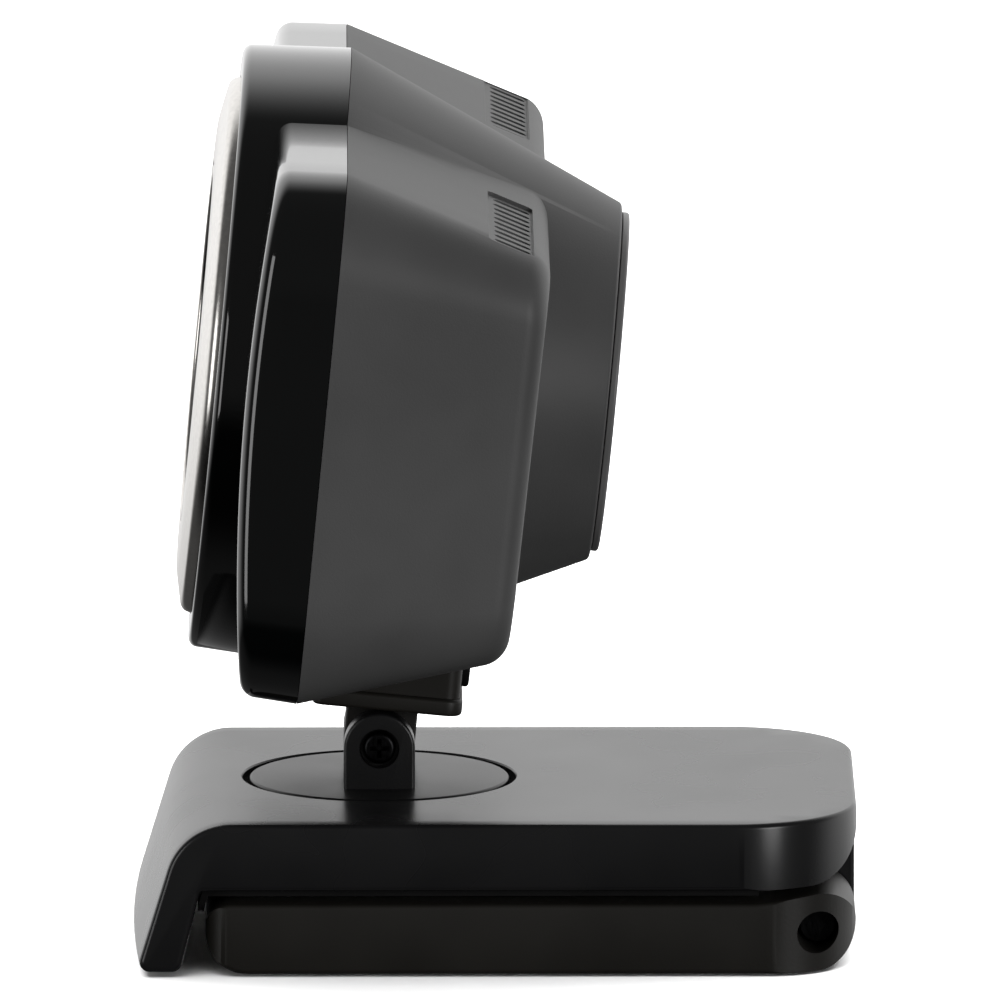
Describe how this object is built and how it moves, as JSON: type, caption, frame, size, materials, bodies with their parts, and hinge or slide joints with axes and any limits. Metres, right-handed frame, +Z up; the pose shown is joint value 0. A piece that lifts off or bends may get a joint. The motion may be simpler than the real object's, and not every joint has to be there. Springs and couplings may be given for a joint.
{
  "type": "webcam",
  "caption": "Wide webcam with a round lens housing between two wings, on a tilting neck, a turntable and a clip stand with a fold-out leg.",
  "frame": {"origin": "on the surface that the stand rests on, under the middle of the overall box", "axes": "+Z up; the lens looks along -Y, tipped 5.5 degrees up; +X is to the left of someone who faces the lens"},
  "size_m": [0.1016, 0.0688, 0.085],
  "materials": {
    "cover_paint": "satin",
    "satin_black": "satin",
    "satin_grey": "fine satin paint",
    "gloss_black": "polished",
    "silver": "bright satin",
    "light_grey": "satin",
    "rubber": "matt",
    "steel": "plain",
    "black_steel": "blackened",
    "lens_glass": "coated",
    "board": "solder mask",
    "chip": "moulded",
    "clear_plastic": "translucent",
    "nylon": "natural"
  },
  "bodies": {
    "base": {"base_cover": "cover_paint", "hook_pad": "rubber", "under_cover": "satin_black", "under_pad": "rubber", "cover_screw_1": "steel", "cover_screw_2": "steel", "cover_screw_3": "steel", "cover_screw_4": "steel", "hinge_pin": "black_steel", "hinge_washer_left": "nylon", "hinge_washer_right": "nylon"},
    "leg": {"leg": "satin_black", "leg_cover": "satin_black", "leg_pad": "rubber"},
    "turntable": {"swivel_disc": "satin_black", "swivel_washer": "steel", "swivel_screw": "steel", "tilt_screw": "black_steel", "tilt_nut": "steel", "friction_washer_left": "steel", "friction_washer_right": "steel"},
    "head": {"neck_bracket": "satin_black", "front_shell": "gloss_black", "rear_shell": "satin_grey", "rear_disc": "light_grey", "shell_screw_1": "black_steel", "shell_screw_2": "black_steel", "shell_screw_3": "black_steel", "shell_screw_4": "black_steel", "bracket_screw_front": "steel", "bracket_screw_rear": "steel", "cord_gland": "rubber", "front_ring": "silver", "front_dish": "gloss_black", "light_guide": "clear_plastic", "status_led": "clear_plastic", "lens_holder": "satin_black", "ir_filter": "lens_glass", "image_sensor": "chip", "main_board": "board", "board_screw_left": "steel", "board_screw_right": "steel", "image_processor": "chip", "usb_header": "nylon", "grille_cloth_left": "rubber", "grille_cloth_right": "rubber", "microphone_left": "steel", "microphone_right": "steel", "mic_gasket_left": "rubber", "mic_gasket_right": "rubber"},
    "focus": {"focus_ring": "satin_black"},
    "lens": {"lens_barrel": "satin_black", "front_lens": "lens_glass", "middle_lens": "lens_glass", "rear_lens": "lens_glass"}
  },
  "joints": [
    {"name": "leg_fold", "type": "hinge", "parent": "base", "child": "leg", "pos_m": [0, 0.0306, 0.00395], "axis": [1, 0, 0], "range_deg": [0, 105]},
    {"name": "head_swivel", "type": "hinge", "parent": "base", "child": "turntable", "pos_m": [0, -0.0109, 0.0147], "axis": [0, 0, 1], "range_deg": [-180, 180]},
    {"name": "head_tilt", "type": "hinge", "parent": "turntable", "child": "head", "pos_m": [0, -0.0109, 0.0186], "axis": [1, 0, 0], "range_deg": [-25, 30]},
    {"name": "focus_turn", "type": "hinge", "parent": "head", "child": "focus", "pos_m": [0, -0.02624, 0.05645], "axis": [0, -0.9954, 0.0958], "range_deg": [-150, 150]},
    {"name": "lens_travel", "type": "slide", "parent": "head", "child": "lens", "axis": [0, -0.9954, 0.0958], "range_m": [-0.00031, 0.00031]}
  ],
  "couplings": [
    {"joint": "focus_turn", "follows": "lens_travel", "rad_per_m": 8377.6}
  ]
}
